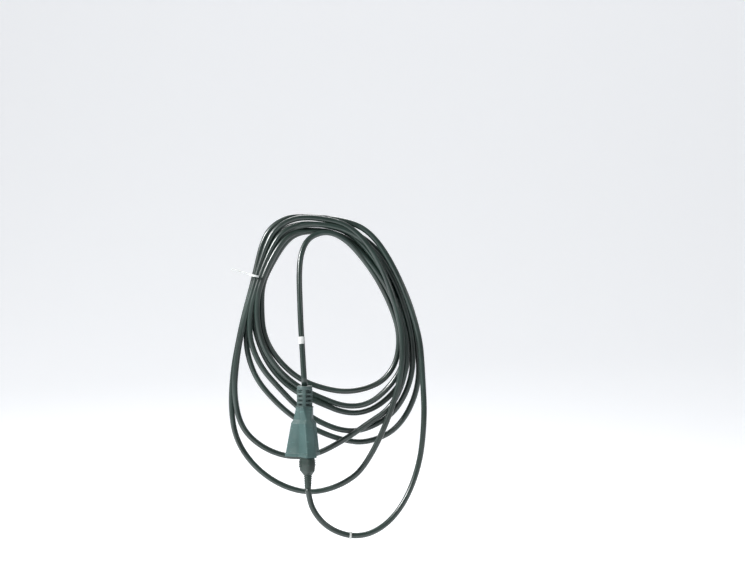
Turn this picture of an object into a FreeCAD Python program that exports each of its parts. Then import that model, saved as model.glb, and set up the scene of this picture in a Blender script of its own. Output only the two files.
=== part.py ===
"""Outdoor extension cord: a loose hanging coil with a three-outlet block at one end of the cord
and a plug at the other, which is plugged into the block's front outlet.

Millimetres. +Z is up and the viewer looks along +Y. The origin is the hang point, where a hook
or peg carries the underside of the coil's top. The block hangs in front of the coil.
"""
import FreeCAD
import Part
import math
import os
from FreeCAD import Vector

os.makedirs("parts", exist_ok=True)

# ---- Cord ----------------------------------------------------------------------------------------
CORD_D = 9.1                # jacket of a three-wire outdoor cord
WIRE_D = 2.9                # one insulated wire inside it
BORE_GAP = 0.05             # a moulded sleeve round the cord or a wire, per side

# ---- Standard grounded outlet and plug -----------------------------------------------------------
BLADE_SPACING = 12.7        # between the two blades' middles
BLADE_THICK = 1.5
HOT_WIDTH = 6.35
NEUTRAL_WIDTH = 7.9
BLADE_LENGTH = 17.0         # from the plug's face
GROUND_OFFSET = 11.9        # from the blades' line to the ground pin
GROUND_D = 4.76
GROUND_LENGTH = 18.3
SLOT_GAP = 0.35             # each side of a blade in its slot
GROUND_HOLE_D = 5.2
PLUG_SEAT_GAP = 0.3         # between the plug's face and the block's rim

# ---- The coil's outer shape ----------------------------------------------------------------------
COIL_FRONT_Y = -24.0
COIL_BACK_Y = 14.0

# ---- Block: its three lobes ----------------------------------------------------------------------
LOBE_ANGLES = (295.0, 175.0, 55.0)      # front (plugged), left, back right
BLADE_LINE_R = 9.2          # from the block's axis to the blades' line
LOBE_HALF_WIDTH = 11.5      # at the foot of a lobe's flanks
NOSE_HALF_WIDTH = 7.5       # at its flat nose
CORNER_RADIUS = 3.0         # between a flank and the nose
GROOVE_RADIUS = 3.0         # between two lobes
LOBE_REACH_BASE = 28.3      # axis to nose, just above the rim
LOBE_REACH_TOP = 20.0       # axis to nose, just under the shoulder
NECK_REACH = 13.5           # the same for the neck's outline at its top
RIM_HEIGHT = 5.0
RIM_OUT = 0.9
SHOULDER_STEP = 3.0         # how far the shoulder draws in above the skirt
NECK_STEP = 1.0
SKIRT_TOP = 51.0
SHOULDER_TOP = SKIRT_TOP + 5.0
NECK_TOP = 76.0
WALL = 1.5
CAVITY_TOP = SKIRT_TOP - 5.0

# ---- Inside the block ----------------------------------------------------------------------------
FIT_GAP = 0.15              # between an inner piece and what it sits in, per side
FACE_RECESS = 0.6
FACE_THICK = 2.4
CARRIER_BASE = FACE_RECESS + FACE_THICK + 0.2
CLIP_BASE = CARRIER_BASE + 0.8
CLIP_TOP = BLADE_LENGTH - PLUG_SEAT_GAP + 2.9
CARRIER_TOP = CLIP_TOP + 2.4
CLIP_WIDTH = 5.0
CLIP_LEAF = 0.7
CLIP_SPREAD = 0.35          # from a blade's face to a leaf
GROUND_CLIP_TOP = 14.0
GROUND_CLIP_WALL = 0.6
GROUND_POCKET_TOP = GROUND_LENGTH - PLUG_SEAT_GAP + 1.4
BUS_THICK = 1.0
BUS_PITCH = 2.2
BUS_LEVELS = [CARRIER_TOP + 0.2 + BUS_PITCH * i for i in range(3)]      # hot, neutral, ground
BUS_HUB_R = 4.0
BUS_ARM_WIDTH = 3.0
SPACER_R = 3.6
TAIL_R = 8.0                # where the hot and neutral wires leave their bus bars
CRIMP_WALL = 0.6
CRIMP_HEIGHT = 5.0
WIRE_PITCH_R = 1.75         # the three wires' pitch circle where they enter the jacket
WIRE_ENTRY_ANGLES = (270.0, 150.0, 30.0)
WIRE_RISE = 9.0             # straight run of a wire above its bus bar
WIRE_RUN_IN = 6.0           # straight run of a wire below the end of the jacket
CLIP_R = math.hypot(BLADE_LINE_R, BLADE_SPACING / 2)
CLIP_ANGLE = math.degrees(math.atan2(BLADE_SPACING / 2, BLADE_LINE_R))
GROUND_ARM_R = BLADE_LINE_R + GROUND_OFFSET - GROUND_HOLE_D / 2 - GROUND_CLIP_WALL

# ---- Strain relief of the block ------------------------------------------------------------------
RELIEF_HEIGHT = 31.5
RELIEF_BASE_R = 12.0
RELIEF_TOP_R = 11.0
RELIEF_CORE_R = CORD_D / 2 + 2.0
RELIEF_COLLAR = 5.5
RELIEF_COLLAR_OUT = 0.7
RELIEF_ROWS = 4
RELIEF_SLOT = 3.4
RELIEF_WEB = 5.0

# ---- Where the block hangs: at the end of its lead, leaning on the front of the coil -------------
LEAD_LOW_Z = -234.5
LEAN_GAP = 0.35             # between the coil's front and the block's back lobe
BLOCK_X = -34.0
BLOCK_BASE_Z = LEAD_LOW_Z - RELIEF_HEIGHT - NECK_TOP

# ---- Plug ----------------------------------------------------------------------------------------
PLUG_BIG_R = 11.2           # the round back of the body
PLUG_BIG_AT = 10.2          # its middle, from the block's axis
PLUG_NOSE_R = 7.4           # the narrow front, round the ground pin
PLUG_BULGE = 0.8
PLUG_LENGTH = 20.0
PLUG_TAPER = 7.0
PLUG_WALL = 2.2
PLUG_CORD_AT = 13.5         # where the cord leaves, from the block's axis
PLUG_END_R = CORD_D / 2 + 1.95
PLUG_CAVITY = PLUG_LENGTH - 5.0
PLUG_CAVITY_END = PLUG_LENGTH + PLUG_TAPER - 3.0
INSERT_THICK = 6.0
BLADE_TAIL = PLUG_LENGTH - 9.0          # how far a blade runs inside the plug
PLUG_CRIMP = 2.0
PLUG_WIRE_DROP = 4.0        # straight run of a wire below its blade
PLUG_WIRE_RUN_IN = 3.0
PLUG_ENTRY_ANGLES = (-120.0, 120.0, 0.0)
PLUG_NOSE_AT = BLADE_LINE_R + GROUND_OFFSET
PLUG_FACE_Z = -PLUG_SEAT_GAP
PLUG_END_OVAL = 0.3         # how far out of round the plug's cord end is
PLUG_RELIEF_LENGTH = 20.0
PLUG_RELIEF_END_R = CORD_D / 2 + 0.75

# ---- Ties ----------------------------------------------------------------------------------------
TIE_WALL = 1.2
TIE_WIDTH = 3.0
TIE_GAP = 0.15
COIL_TIE_AT = (-113.0, -16.0, -66.0)
COIL_TIE_AXIS = (-0.22, 0.0, -1.0)
TAIL_LENGTH = 38.0
TAIL_WIDTH = 2.4
TAIL_TILT = 16.0
LOOP_TIE_ALONG = 108.0      # along the loop from the plug
WRAP_ALONG = 70.0           # along the lead from the block
WRAP_LENGTH = 11.0
WRAP_WALL = 0.35
WRAP_GAP = 0.3


def save(name, shape):
    """Write one node."""
    shape.exportStep("parts/" + name + ".step")


def hang(shape):
    """Move a shape from the block's own frame (axis at 0, 0 and base at 0) to where it hangs."""
    shape = shape.copy()
    shape.translate(Vector(BLOCK_X, BLOCK_Y, BLOCK_BASE_Z))
    return shape


def turned(shape, angle):
    """A copy turned about the block's axis, in degrees."""
    shape = shape.copy()
    shape.rotate(Vector(0, 0, 0), Vector(0, 0, 1), angle)
    return shape


def box(x_mid, y_mid, z_low, x_size, y_size, z_size):
    """A box by the middle of its base."""
    return Part.makeBox(x_size, y_size, z_size, Vector(x_mid - x_size / 2, y_mid - y_size / 2, z_low))


def rod(x, y, z_low, radius, height):
    """An upright cylinder."""
    return Part.makeCylinder(radius, height, Vector(x, y, z_low))


def cone(x, y, z_low, low_radius, high_radius, height):
    """An upright cone."""
    return Part.makeCone(low_radius, high_radius, height, Vector(x, y, z_low))


def joined(shapes):
    """One solid out of several."""
    first = shapes[0]
    return first.fuse(shapes[1:]).removeSplitter()


def prism(wire, height):
    """A wire's face pushed upward."""
    return Part.Face(wire).extrude(Vector(0, 0, height))


def polar(radius, angle, z=0.0):
    """A point at an angle in degrees about the block's axis."""
    return Vector(radius * math.cos(math.radians(angle)), radius * math.sin(math.radians(angle)), z)


def on_lobe(x, y, lobe, z):
    """A point given along and across a lobe that points at an angle in degrees."""
    return polar(x, lobe, z) + polar(y, lobe + 90)


def cord_path(points):
    """Straight runs joined by tangent arcs, as large as the runs allow, and the arcs' radii."""
    places = [Vector(*p) for p in points]
    edges = []
    radii = []
    start = places[0]
    for before, corner, after in zip(places, places[1:], places[2:]):
        run_in = corner - before
        run_out = after - corner
        turn = run_in.getAngle(run_out)
        setback = 0.45 * min(run_in.Length, run_out.Length)
        radius = setback / math.tan(turn / 2)
        into = Vector(run_in).normalize()
        out = Vector(run_out).normalize()
        arc_start = corner - into * setback
        arc_end = corner + out * setback
        inward = (out - into).normalize()
        middle = corner + inward * (radius / math.cos(turn / 2) - radius)
        edges.append(Part.LineSegment(start, arc_start).toShape())
        edges.append(Part.Arc(arc_start, middle, arc_end).toShape())
        radii.append(radius)
        start = arc_end
    edges.append(Part.LineSegment(start, places[-1]).toShape())
    return Part.Wire(edges), radii


def tube(name, points, diameter):
    """A round cord or wire through a route's points, with its length, radii and volume printed."""
    path, radii = cord_path(points)
    circle = Part.Circle(Vector(*points[0]), path.Edges[0].tangentAt(0), diameter / 2)
    solid = path.makePipeShell([Part.Wire([circle.toShape()])], True, False)
    section = math.pi * diameter ** 2 / 4
    print(name, "length %.0f" % path.Length, "radii", ["%.0f" % r for r in radii],
          "volume over section x length %.4f" % (solid.Volume / (section * path.Length)))
    return solid


def along(points, distance):
    """The place and direction on a route's path at a distance from its start."""
    path = cord_path(points)[0]
    for edge in path.OrderedEdges:
        if distance <= edge.Length:
            at = edge.getParameterByLength(distance)
            return edge.valueAt(at), edge.tangentAt(at)
        distance -= edge.Length


# ---- The block's section -------------------------------------------------------------------------

def flank_root(grown):
    """Where a lobe's flank leaves the groove, on a lobe that points along +X."""
    half = LOBE_HALF_WIDTH + grown
    return Vector((half + GROOVE_RADIUS) / math.tan(math.radians(60)), half, 0)


def lobe_bend(reach, grown):
    """The rounded corner of a lobe that points along +X: its start on the flank, its middle, its
    end on the nose and its centre."""
    corner = Vector(reach + grown, NOSE_HALF_WIDTH + grown, 0)
    flank = (corner - flank_root(grown)).normalize()
    setback = CORNER_RADIUS * math.tan(flank.getAngle(Vector(0, -1, 0)) / 2)
    start = corner - flank * setback
    end = corner - Vector(0, setback, 0)
    centre = end - Vector(CORNER_RADIUS, 0, 0)
    middle = centre + (corner - centre).normalize() * CORNER_RADIUS
    return start, middle, end, centre


def lobed_wire(reach, grown, z):
    """The three-lobed outline: each lobe has a flat nose, rounded corners and straight flanks that
    meet the next lobe's in a rounded groove. 'grown' moves it all outward, or inward if negative."""
    root = flank_root(grown)
    groove = (root.y + GROOVE_RADIUS) / math.sin(math.radians(60)) - GROOVE_RADIUS
    bend_start, bend_middle, bend_end, bend_centre = lobe_bend(reach, grown)
    edges = []
    for lobe in sorted(LOBE_ANGLES):
        right = [on_lobe(p.x, -p.y, lobe, z) for p in (root, bend_start, bend_middle, bend_end)]
        left = [on_lobe(p.x, p.y, lobe, z) for p in (bend_end, bend_middle, bend_start, root)]
        next_root = on_lobe(root.x, -root.y, lobe + 120, z)
        edges.append(Part.LineSegment(right[0], right[1]).toShape())
        edges.append(Part.Arc(right[1], right[2], right[3]).toShape())
        edges.append(Part.LineSegment(right[3], left[0]).toShape())
        edges.append(Part.Arc(left[0], left[1], left[2]).toShape())
        edges.append(Part.LineSegment(left[2], left[3]).toShape())
        edges.append(Part.Arc(left[3], polar(groove, lobe + 60, z), next_root).toShape())
    return Part.Wire(edges)


def reach_at(z):
    """How far a lobe's nose reaches from the axis at a height above the block's base."""
    share = (z - RIM_HEIGHT) / (SKIRT_TOP - RIM_HEIGHT)
    return LOBE_REACH_BASE + (LOBE_REACH_TOP - LOBE_REACH_BASE) * max(0.0, share)


def leaning_y():
    """Where the block's axis lies when the rim of its back lobe leans on the front of the coil."""
    bend_centre = lobe_bend(LOBE_REACH_BASE, RIM_OUT)[3]
    rim_back = on_lobe(bend_centre.x, bend_centre.y, LOBE_ANGLES[2], 0).y + CORNER_RADIUS
    return COIL_FRONT_Y - LEAN_GAP - rim_back


def lobed_solid(z_low, z_high, grown):
    """The block's shape between two heights, grown outward or inward."""
    levels = [z_low, z_high]
    if z_low < RIM_HEIGHT < z_high:
        levels = [z_low, RIM_HEIGHT, z_high]
    wires = [lobed_wire(reach_at(z), grown, z) for z in levels]
    return Part.makeLoft(wires, True, True)


BLOCK_Y = leaning_y()


# ---- Block ---------------------------------------------------------------------------------------

def block_housing():
    """The moulded shell: flared three-lobed skirt with a rim, a sloping shoulder and a neck."""
    rim = prism(lobed_wire(LOBE_REACH_BASE, RIM_OUT, 0), RIM_HEIGHT)
    body = Part.makeLoft([lobed_wire(LOBE_REACH_BASE, 0, RIM_HEIGHT),
                          lobed_wire(LOBE_REACH_TOP, 0, SKIRT_TOP),
                          lobed_wire(LOBE_REACH_TOP, -SHOULDER_STEP, SHOULDER_TOP),
                          lobed_wire(NECK_REACH, -NECK_STEP, NECK_TOP)], True, True)
    outside = joined([rim, body])
    cavity = lobed_solid(0, CAVITY_TOP, -WALL)
    bore = rod(0, 0, CAVITY_TOP - 1, CORD_D / 2 + BORE_GAP, NECK_TOP - CAVITY_TOP + 2)
    return outside.cut([cavity, bore])


def blade_slots(z_low, height, gap):
    """One outlet's two slots, in a frame with the outlet's lobe along +X."""
    thick = BLADE_THICK + 2 * gap
    hot = box(BLADE_LINE_R, -BLADE_SPACING / 2, z_low, HOT_WIDTH + 2 * gap, thick, height)
    neutral = box(BLADE_LINE_R, BLADE_SPACING / 2, z_low, NEUTRAL_WIDTH + 2 * gap, thick, height)
    return [hot, neutral]


def outlet_face():
    """The plate in the block's base with the slots and ground holes of the three outlets."""
    plate = prism(lobed_wire(LOBE_REACH_BASE, -WALL - FIT_GAP, FACE_RECESS), FACE_THICK)
    holes = []
    for lobe in LOBE_ANGLES:
        ground = rod(BLADE_LINE_R + GROUND_OFFSET, 0, 0, GROUND_HOLE_D / 2, FACE_THICK * 2)
        for hole in blade_slots(0, FACE_THICK * 2, SLOT_GAP) + [ground]:
            holes.append(turned(hole, lobe))
    return plate.cut(holes)


def contact_carrier():
    """The insulating block that holds the contacts, with a pocket for each."""
    carrier = lobed_solid(CARRIER_BASE, CARRIER_TOP, -WALL - FIT_GAP)
    deep = CARRIER_TOP - CARRIER_BASE + 2
    clip_thick = BLADE_THICK + 2 * (CLIP_SPREAD + CLIP_LEAF + FIT_GAP)
    pin_x = BLADE_LINE_R + GROUND_OFFSET
    clip_r = GROUND_HOLE_D / 2 + GROUND_CLIP_WALL + FIT_GAP
    pockets = []
    for lobe in LOBE_ANGLES:
        for side, width in ((-1, HOT_WIDTH), (1, NEUTRAL_WIDTH)):
            y_mid = side * BLADE_SPACING / 2
            pockets.append(turned(box(BLADE_LINE_R, y_mid, CARRIER_BASE - 1,
                                      CLIP_WIDTH + 2 * FIT_GAP, clip_thick, deep), lobe))
            pockets.append(turned(box(BLADE_LINE_R, y_mid, CARRIER_BASE - 1, width + 2 * SLOT_GAP,
                                      BLADE_THICK + 2 * SLOT_GAP, CLIP_TOP - CARRIER_BASE), lobe))
        pockets.append(turned(rod(pin_x, 0, CARRIER_BASE - 1, clip_r,
                                  GROUND_CLIP_TOP + FIT_GAP - CARRIER_BASE + 1), lobe))
        pockets.append(turned(rod(pin_x, 0, CARRIER_BASE - 1, GROUND_HOLE_D / 2 + FIT_GAP,
                                  GROUND_POCKET_TOP - CARRIER_BASE + 1), lobe))
        pockets.append(turned(ground_tab(FIT_GAP, CARRIER_BASE - 1, deep), lobe))
    return carrier.cut(pockets)


def blade_clip(side, top):
    """A spring clip for one blade: two leaves, a bridge over the blade's end and a riser tab."""
    y_mid = side * BLADE_SPACING / 2
    opening = BLADE_THICK + 2 * CLIP_SPREAD
    outer = opening + 2 * CLIP_LEAF
    folded = box(BLADE_LINE_R, y_mid, CLIP_BASE, CLIP_WIDTH, outer, CLIP_TOP - CLIP_BASE)
    slot = box(BLADE_LINE_R, y_mid, CLIP_BASE - 1, CLIP_WIDTH + 2, opening,
               CLIP_TOP - CLIP_BASE - CLIP_LEAF + 1)
    riser = box(BLADE_LINE_R, y_mid, CLIP_TOP, BUS_ARM_WIDTH, CLIP_LEAF, top - CLIP_TOP)
    return joined([folded.cut(slot), riser])


def ground_tab(grown, z_low, height):
    """The upright strip behind a ground clip, in a frame with the lobe along +X."""
    tab_x = BLADE_LINE_R + GROUND_OFFSET - GROUND_HOLE_D / 2 - GROUND_CLIP_WALL
    return box(tab_x, 0, z_low, BUS_THICK + 2 * grown, BUS_ARM_WIDTH + 2 * grown, height)


def ground_clip():
    """A round ground contact with its upright tab."""
    pin_x = BLADE_LINE_R + GROUND_OFFSET
    height = GROUND_CLIP_TOP - CLIP_BASE
    sleeve = rod(pin_x, 0, CLIP_BASE, GROUND_HOLE_D / 2 + GROUND_CLIP_WALL, height)
    hole = rod(pin_x, 0, CLIP_BASE - 1, GROUND_HOLE_D / 2, height + 2)
    tab = ground_tab(0, CLIP_BASE, BUS_LEVELS[2] - CLIP_BASE)
    return joined([sleeve, tab]).cut(hole)


def contacts():
    """The three groups of contacts, one in each lobe."""
    hot = [turned(blade_clip(-1, BUS_LEVELS[0]), lobe) for lobe in LOBE_ANGLES]
    neutral = [turned(blade_clip(1, BUS_LEVELS[1]), lobe) for lobe in LOBE_ANGLES]
    ground = [turned(ground_clip(), lobe) for lobe in LOBE_ANGLES]
    save("hot_contacts", hang(Part.makeCompound(hot)))
    save("neutral_contacts", hang(Part.makeCompound(neutral)))
    save("ground_contacts", hang(Part.makeCompound(ground)))


def bus_bar(level, arm_reach, arm_angle):
    """A hub with an arm to each of its three contacts, at one level."""
    arms = [rod(0, 0, level, BUS_HUB_R, BUS_THICK)]
    for lobe in LOBE_ANGLES:
        length = arm_reach + BUS_ARM_WIDTH / 2
        arm = box(length / 2, 0, level, length, BUS_ARM_WIDTH, BUS_THICK)
        arms.append(turned(arm, lobe + arm_angle))
    return joined(arms)


def bus_bars():
    """Hot, neutral and ground bus bars, one above another, and the two spacers between them."""
    save("hot_bus", hang(bus_bar(BUS_LEVELS[0], CLIP_R, -CLIP_ANGLE)))
    save("neutral_bus", hang(bus_bar(BUS_LEVELS[1], CLIP_R, CLIP_ANGLE)))
    save("ground_bus", hang(bus_bar(BUS_LEVELS[2], GROUND_ARM_R, 0)))
    spacers = [rod(0, 0, low + BUS_THICK, SPACER_R, high - low - BUS_THICK)
               for low, high in zip(BUS_LEVELS, BUS_LEVELS[1:])]
    save("bus_spacers", hang(Part.makeCompound(spacers)))


def block_wires():
    """The three wires from the bus bars up to the end of the cord's jacket, and their crimps."""
    tails = {"hot": (polar(TAIL_R, LOBE_ANGLES[0] - CLIP_ANGLE), BUS_LEVELS[0] + BUS_THICK),
             "neutral": (polar(TAIL_R, LOBE_ANGLES[1] + CLIP_ANGLE), BUS_LEVELS[1] + BUS_THICK),
             "ground": (Vector(0, 0, 0), BUS_LEVELS[2] + BUS_THICK)}
    for number, (name, (foot, level)) in enumerate(tails.items()):
        entry = polar(WIRE_PITCH_R, WIRE_ENTRY_ANGLES[number])
        points = [(foot.x, foot.y, level), (foot.x, foot.y, level + WIRE_RISE),
                  (entry.x, entry.y, CAVITY_TOP - WIRE_RUN_IN), (entry.x, entry.y, CAVITY_TOP)]
        save("block_" + name + "_wire", hang(tube("block_" + name + "_wire", points, WIRE_D)))
        sleeve = rod(foot.x, foot.y, level, WIRE_D / 2 + BORE_GAP + CRIMP_WALL, CRIMP_HEIGHT)
        hole = rod(foot.x, foot.y, level - 1, WIRE_D / 2 + BORE_GAP, CRIMP_HEIGHT + 2)
        save("block_" + name + "_crimp", hang(sleeve.cut(hole)))


def block_relief():
    """The strain relief: a sleeve with a collar and rows of windows between four upright webs."""
    sleeve = cone(0, 0, NECK_TOP, RELIEF_BASE_R, RELIEF_TOP_R, RELIEF_HEIGHT)
    collar_z = NECK_TOP + RELIEF_HEIGHT - RELIEF_COLLAR
    collar_r = RELIEF_TOP_R + RELIEF_COLLAR_OUT
    outside = joined([sleeve, rod(0, 0, collar_z, collar_r, RELIEF_COLLAR)])
    pitch = (RELIEF_HEIGHT - RELIEF_COLLAR) / RELIEF_ROWS
    wide = 2 * RELIEF_BASE_R + 2
    cuts = []
    for row in range(RELIEF_ROWS):
        z_low = NECK_TOP + pitch * (row + 0.5) - RELIEF_SLOT / 2
        window = box(0, 0, z_low, wide, wide, RELIEF_SLOT)
        window = window.cut([rod(0, 0, z_low, RELIEF_CORE_R, RELIEF_SLOT),
                             box(0, 0, z_low, RELIEF_WEB, wide, RELIEF_SLOT),
                             box(0, 0, z_low, wide, RELIEF_WEB, RELIEF_SLOT)])
        cuts.append(window)
    cuts.append(rod(0, 0, NECK_TOP - 1, CORD_D / 2 + BORE_GAP, RELIEF_HEIGHT + 2))
    return outside.cut(cuts)


# ---- Plug, in the block's frame with the front lobe along +X -------------------------------------

def plug_wire(big_r, big_at, nose_r, nose_at, z):
    """The plug's outline: a round back, a narrower round front and straight sides."""
    touch = math.degrees(math.acos((big_r - nose_r) / (nose_at - big_at)))
    big = Vector(big_at, 0, z)
    nose = Vector(nose_at, 0, z)
    back = [big + polar(big_r, angle) for angle in (touch, 180, -touch)]
    front = [nose + polar(nose_r, angle) for angle in (-touch, 0, touch)]
    edges = [Part.Arc(*back).toShape(),
             Part.LineSegment(back[2], front[0]).toShape(),
             Part.Arc(*front).toShape(),
             Part.LineSegment(front[2], back[0]).toShape()]
    return Part.Wire(edges)


def plug_section(grown, z):
    """The plug's full outline at one height."""
    return plug_wire(PLUG_BIG_R + grown, PLUG_BIG_AT, PLUG_NOSE_R + grown, PLUG_NOSE_AT, z)


def plug_end_section(radius, z):
    """The nearly round outline where the plug meets the cord."""
    return plug_wire(radius, PLUG_CORD_AT - PLUG_END_OVAL, radius - PLUG_END_OVAL / 2,
                     PLUG_CORD_AT + PLUG_END_OVAL, z)


def plug_body():
    """The plug's moulded shell, slightly bulged, tapered to the strain relief."""
    low = PLUG_FACE_Z - PLUG_LENGTH
    end = low - PLUG_TAPER
    middle = PLUG_FACE_Z - PLUG_LENGTH / 2
    outside = Part.makeLoft([plug_section(0, PLUG_FACE_Z), plug_section(PLUG_BULGE, middle),
                             plug_section(0, low), plug_end_section(PLUG_END_R, end)], True, True)
    cavity_low = PLUG_FACE_Z - PLUG_CAVITY
    cavity = prism(plug_section(-PLUG_WALL, cavity_low), PLUG_CAVITY)
    funnel_end = plug_end_section(CORD_D / 2 + BORE_GAP, PLUG_FACE_Z - PLUG_CAVITY_END)
    funnel = Part.makeLoft([plug_section(-PLUG_WALL, cavity_low), funnel_end], True, True)
    bore = rod(PLUG_CORD_AT, 0, end - 1, CORD_D / 2 + BORE_GAP, PLUG_TAPER + 1)
    return outside.cut([cavity, funnel, bore])


def plug_parts():
    """Everything on the plug, each piece turned to the front lobe and hung. Gives back the point
    where the cord leaves it."""
    pieces = {"plug_body": plug_body()}
    insert_z = PLUG_FACE_Z - INSERT_THICK
    insert = prism(plug_section(-PLUG_WALL - FIT_GAP, insert_z), INSERT_THICK)
    tail_z = PLUG_FACE_Z - BLADE_TAIL
    blade = BLADE_TAIL + BLADE_LENGTH
    hot = box(BLADE_LINE_R, -BLADE_SPACING / 2, tail_z, HOT_WIDTH, BLADE_THICK, blade)
    neutral = box(BLADE_LINE_R, BLADE_SPACING / 2, tail_z, NEUTRAL_WIDTH, BLADE_THICK, blade)
    pin_tip = GROUND_D / 4
    pin = joined([rod(PLUG_NOSE_AT, 0, tail_z, GROUND_D / 2, BLADE_TAIL + GROUND_LENGTH - pin_tip),
                  cone(PLUG_NOSE_AT, 0, PLUG_FACE_Z + GROUND_LENGTH - pin_tip,
                       GROUND_D / 2, GROUND_D / 4, pin_tip)])
    holes = blade_slots(insert_z - 1, INSERT_THICK + 2, BORE_GAP)
    holes.append(rod(PLUG_NOSE_AT, 0, insert_z - 1, GROUND_D / 2 + BORE_GAP, INSERT_THICK + 2))
    pieces["plug_insert"] = insert.cut(holes)
    pieces["hot_blade"] = hot
    pieces["neutral_blade"] = neutral
    pieces["ground_pin"] = pin
    cord_top = PLUG_FACE_Z - PLUG_CAVITY_END + 1
    feet = {"hot": (BLADE_LINE_R, -BLADE_SPACING / 2), "neutral": (BLADE_LINE_R, BLADE_SPACING / 2),
            "ground": (PLUG_NOSE_AT, 0)}
    for (name, (x, y)), entry_angle in zip(feet.items(), PLUG_ENTRY_ANGLES):
        entry = polar(WIRE_PITCH_R, entry_angle) + Vector(PLUG_CORD_AT, 0, 0)
        points = [(x, y, tail_z), (x, y, tail_z - PLUG_WIRE_DROP),
                  (entry.x, entry.y, cord_top + PLUG_WIRE_RUN_IN), (entry.x, entry.y, cord_top)]
        pieces["plug_" + name + "_wire"] = tube("plug_" + name + "_wire", points, WIRE_D)
        sleeve = rod(x, y, tail_z - PLUG_CRIMP, WIRE_D / 2 + BORE_GAP + CRIMP_WALL, PLUG_CRIMP)
        hole = rod(x, y, tail_z - PLUG_CRIMP - 1, WIRE_D / 2 + BORE_GAP, PLUG_CRIMP + 2)
        pieces["plug_" + name + "_crimp"] = sleeve.cut(hole)
    relief_top = PLUG_FACE_Z - PLUG_LENGTH - PLUG_TAPER
    relief_end = relief_top - PLUG_RELIEF_LENGTH
    relief = cone(PLUG_CORD_AT, 0, relief_end, PLUG_RELIEF_END_R, PLUG_END_R - PLUG_END_OVAL,
                  PLUG_RELIEF_LENGTH)
    relief_bore = rod(PLUG_CORD_AT, 0, relief_end - 1, CORD_D / 2 + BORE_GAP, PLUG_RELIEF_LENGTH + 2)
    pieces["plug_strain_relief"] = relief.cut(relief_bore)
    pieces["plug_cord_end"] = rod(PLUG_CORD_AT, 0, relief_end, CORD_D / 2, cord_top - relief_end)
    for name, shape in pieces.items():
        save(name, hang(turned(shape, LOBE_ANGLES[0])))
    return hang(Part.Vertex(polar(PLUG_CORD_AT, LOBE_ANGLES[0], relief_end))).Point


# ---- Cord, coil and ties -------------------------------------------------------------------------

LEAD_TOP = (BLOCK_X, BLOCK_Y, LEAD_LOW_Z)

# From the block's strain relief up, over the hook and into the coil's top.
LEAD_POINTS = [
    LEAD_TOP,
    (BLOCK_X - 4.5, BLOCK_Y + 9.2, -175.0),
    (-42.0, -35.0, -115.0),
    (-44.0, -27.0, -62.0),
    (-41.0, -21.0, -28.0),
    (-29.0, -15.0, -5.0),
    (-8.0, -10.0, 10.0),
]

# From the plug's strain relief straight down, round the low loop and up the coil's right side.
LOOP_FIRST_RUN = 21.5
LOOP_POINTS = [
    (-18.5, -63.6, -432.0),
    (-3.0, -61.2, -448.0),
    (17.0, -57.6, -459.5),
    (40.0, -53.2, -464.5),
    (66.0, -48.2, -461.5),
    (92.0, -42.5, -446.0),
    (114.0, -37.3, -422.0),
    (131.0, -33.2, -391.0),
    (142.0, -30.0, -356.0),
    (148.0, -29.0, -318.0),
    (149.0, -28.5, -280.0),
    (145.0, -26.0, -246.0),
    (138.0, -20.0, -214.0),
]


def outline(points):
    """A closed outline of arcs: every second point is a joint, the ones between lie on the arcs."""
    places = [Vector(x, 0, z) for x, z in points]
    count = len(places)
    edges = [Part.Arc(places[i], places[i + 1], places[(i + 2) % count]).toShape()
             for i in range(0, count, 2)]
    return Part.Wire(edges)


def coil():
    """The coil's outer shape: a thin bundle over the hook that fans out downward."""
    outer = outline([(0, 33), (66, 15), (108, -40), (138, -120), (155, -226), (146, -283),
                     (104, -318), (56, -388), (-26, -412), (-123, -360), (-159, -258),
                     (-142, -150), (-116, -50), (-89, 20)])
    inner = outline([(0, 1), (62, -46), (110, -155), (92, -214), (30, -243), (-55, -217), (-97, -130),
                     (-88, -58), (-42, -2), (-21, 2)])
    outer_face = Part.Face(outer)
    ring = outer_face.cut(Part.Face(inner))
    solid = ring.Faces[0].extrude(Vector(0, COIL_BACK_Y - COIL_FRONT_Y, 0))
    solid.translate(Vector(0, COIL_FRONT_Y, 0))
    return solid


def band(middle, direction, inner_r, width, wall):
    """A short sleeve round the cord."""
    axis = Vector(direction).normalize()
    low = Vector(middle) - axis * (width / 2)
    outside = Part.makeCylinder(inner_r + wall, width, low, axis)
    return outside.cut(Part.makeCylinder(inner_r, width, low, axis))


def ties(lead_route, loop_route):
    """A tie with a long tail on the coil's left, one on the low loop and a blank wrap on the lead."""
    hole_r = CORD_D / 2 + TIE_GAP
    ring = band(COIL_TIE_AT, COIL_TIE_AXIS, hole_r, TIE_WIDTH, TIE_WALL)
    x, y, z = COIL_TIE_AT
    tail = Part.makeBox(TAIL_LENGTH, TIE_WALL, TAIL_WIDTH,
                        Vector(x - TAIL_LENGTH, y - TIE_WALL / 2, z - TAIL_WIDTH / 2))
    tail.rotate(Vector(*COIL_TIE_AT), Vector(0, 1, 0), TAIL_TILT)
    above = Vector(*COIL_TIE_AT) + Vector(0, 0, 1.5 * TIE_WIDTH)
    hollow = Part.makeCylinder(hole_r, 3 * TIE_WIDTH, above, Vector(*COIL_TIE_AXIS))
    save("coil_tie", joined([ring, tail]).cut(hollow))
    save("loop_tie", band(*along(loop_route, LOOP_TIE_ALONG), hole_r, TIE_WIDTH, TIE_WALL))
    wrap_r = CORD_D / 2 + WRAP_GAP
    save("lead_wrap", band(*along(lead_route, WRAP_ALONG), wrap_r, WRAP_LENGTH, WRAP_WALL))


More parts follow.
